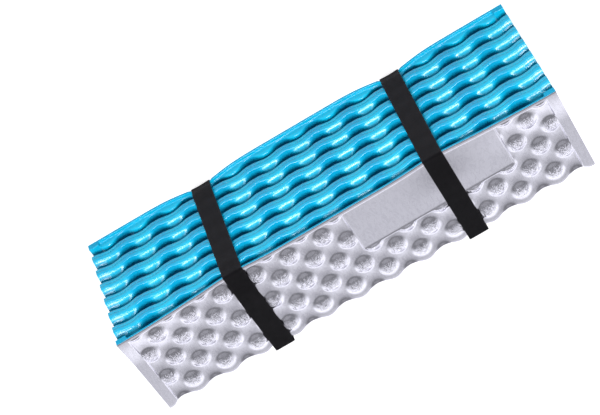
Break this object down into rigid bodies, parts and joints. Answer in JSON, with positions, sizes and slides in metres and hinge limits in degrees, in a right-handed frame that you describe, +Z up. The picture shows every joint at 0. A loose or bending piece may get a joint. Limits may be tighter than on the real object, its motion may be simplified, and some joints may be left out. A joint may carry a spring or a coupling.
{
  "type": "folding foam sleeping pad",
  "caption": "Egg-crate closed-cell foam sleeping pad, blue on one side and silver film on the other, folded like an accordion and held in a bundle by elastic straps.",
  "frame": {"origin": "on the surface it rests on, under the middle of the folded bundle", "axes": "+X along the creases, the bundle's length; +Y from the free edges at the front to the back; +Z up, through the stack of panels to the face with the smooth label panel"},
  "size_m": [0.57, 0.137, 0.1856],
  "materials": {
    "foam_blue": "satin moulded foam skin",
    "film_silver": "satin aluminised film",
    "strap_webbing": "matt woven elastic",
    "thread_black": "matt thread"
  },
  "bodies": {
    "panel_01": {"foam_panel_01": "foam_blue", "film_panel_01": "film_silver", "crease_01_02": "film_silver"},
    "panel_02": {"foam_panel_02": "foam_blue", "film_panel_02": "film_silver", "crease_02_03": "foam_blue"},
    "panel_03": {"foam_panel_03": "foam_blue", "film_panel_03": "film_silver", "crease_03_04": "film_silver"},
    "panel_04": {"foam_panel_04": "foam_blue", "film_panel_04": "film_silver", "crease_04_05": "foam_blue"},
    "panel_05": {"foam_panel_05": "foam_blue", "film_panel_05": "film_silver", "crease_05_06": "film_silver"},
    "panel_06": {"foam_panel_06": "foam_blue", "film_panel_06": "film_silver", "crease_06_07": "foam_blue"},
    "panel_07": {"foam_panel_07": "foam_blue", "film_panel_07": "film_silver", "crease_07_08": "film_silver"},
    "panel_08": {"foam_panel_08": "foam_blue", "film_panel_08": "film_silver", "crease_08_09": "foam_blue"},
    "panel_09": {"foam_panel_09": "foam_blue", "film_panel_09": "film_silver", "crease_09_10": "film_silver"},
    "panel_10": {"foam_panel_10": "foam_blue", "film_panel_10": "film_silver", "crease_10_11": "foam_blue"},
    "panel_11": {"foam_panel_11": "foam_blue", "film_panel_11": "film_silver", "crease_11_12": "film_silver"},
    "panel_12": {"foam_panel_12": "foam_blue", "film_panel_12": "film_silver", "crease_12_13": "foam_blue"},
    "panel_13": {"foam_panel_13": "foam_blue", "film_panel_13": "film_silver", "crease_13_14": "film_silver"},
    "panel_14": {"foam_panel_14": "foam_blue", "film_panel_14": "film_silver"},
    "strap_left": {"strap_left_webbing": "strap_webbing", "strap_left_stitching": "thread_black"},
    "strap_right": {"strap_right_webbing": "strap_webbing", "strap_right_stitching": "thread_black"}
  },
  "joints": [
    {"name": "unfold", "type": "hinge", "parent": "panel_01", "child": "panel_02", "pos_m": [0, 0.06455, 0.013], "axis": [-1, 0, 0], "range_deg": [0, 180]},
    {"name": "fold_02_03", "type": "hinge", "parent": "panel_02", "child": "panel_03", "pos_m": [0, -0.06455, 0.0263], "axis": [1, 0, 0], "range_deg": [0, 180]},
    {"name": "fold_03_04", "type": "hinge", "parent": "panel_03", "child": "panel_04", "pos_m": [0, 0.06455, 0.0396], "axis": [-1, 0, 0], "range_deg": [0, 180]},
    {"name": "fold_04_05", "type": "hinge", "parent": "panel_04", "child": "panel_05", "pos_m": [0, -0.06455, 0.0529], "axis": [1, 0, 0], "range_deg": [0, 180]},
    {"name": "fold_05_06", "type": "hinge", "parent": "panel_05", "child": "panel_06", "pos_m": [0, 0.06455, 0.0662], "axis": [-1, 0, 0], "range_deg": [0, 180]},
    {"name": "fold_06_07", "type": "hinge", "parent": "panel_06", "child": "panel_07", "pos_m": [0, -0.06455, 0.0795], "axis": [1, 0, 0], "range_deg": [0, 180]},
    {"name": "fold_07_08", "type": "hinge", "parent": "panel_07", "child": "panel_08", "pos_m": [0, 0.06455, 0.0928], "axis": [-1, 0, 0], "range_deg": [0, 180]},
    {"name": "fold_08_09", "type": "hinge", "parent": "panel_08", "child": "panel_09", "pos_m": [0, -0.06455, 0.1061], "axis": [1, 0, 0], "range_deg": [0, 180]},
    {"name": "fold_09_10", "type": "hinge", "parent": "panel_09", "child": "panel_10", "pos_m": [0, 0.06455, 0.1194], "axis": [-1, 0, 0], "range_deg": [0, 180]},
    {"name": "fold_10_11", "type": "hinge", "parent": "panel_10", "child": "panel_11", "pos_m": [0, -0.06455, 0.1327], "axis": [1, 0, 0], "range_deg": [0, 180]},
    {"name": "fold_11_12", "type": "hinge", "parent": "panel_11", "child": "panel_12", "pos_m": [0, 0.06455, 0.146], "axis": [-1, 0, 0], "range_deg": [0, 180]},
    {"name": "fold_12_13", "type": "hinge", "parent": "panel_12", "child": "panel_13", "pos_m": [0, -0.06455, 0.1593], "axis": [1, 0, 0], "range_deg": [0, 180]},
    {"name": "fold_13_14", "type": "hinge", "parent": "panel_13", "child": "panel_14", "pos_m": [0, 0.06455, 0.1726], "axis": [-1, 0, 0], "range_deg": [0, 180]},
    {"name": "strap_left_off", "type": "slide", "parent": "panel_01", "child": "strap_left", "axis": [-1, 0, 0], "range_m": [0, 0.19], "deforming": ["strap_left_webbing", "strap_left_stitching"]},
    {"name": "strap_right_off", "type": "slide", "parent": "panel_01", "child": "strap_right", "axis": [1, 0, 0], "range_m": [0, 0.19], "deforming": ["strap_right_webbing", "strap_right_stitching"]}
  ],
  "couplings": [
    {"joint": "fold_02_03", "follows": "unfold", "ratio": 1},
    {"joint": "fold_03_04", "follows": "unfold", "ratio": 1},
    {"joint": "fold_04_05", "follows": "unfold", "ratio": 1},
    {"joint": "fold_05_06", "follows": "unfold", "ratio": 1},
    {"joint": "fold_06_07", "follows": "unfold", "ratio": 1},
    {"joint": "fold_07_08", "follows": "unfold", "ratio": 1},
    {"joint": "fold_08_09", "follows": "unfold", "ratio": 1},
    {"joint": "fold_09_10", "follows": "unfold", "ratio": 1},
    {"joint": "fold_10_11", "follows": "unfold", "ratio": 1},
    {"joint": "fold_11_12", "follows": "unfold", "ratio": 1},
    {"joint": "fold_12_13", "follows": "unfold", "ratio": 1},
    {"joint": "fold_13_14", "follows": "unfold", "ratio": 1},
    {"joint": "strap_left_off", "follows": "unfold", "m_per_rad": 0.06},
    {"joint": "strap_right_off", "follows": "unfold", "m_per_rad": 0.06}
  ]
}
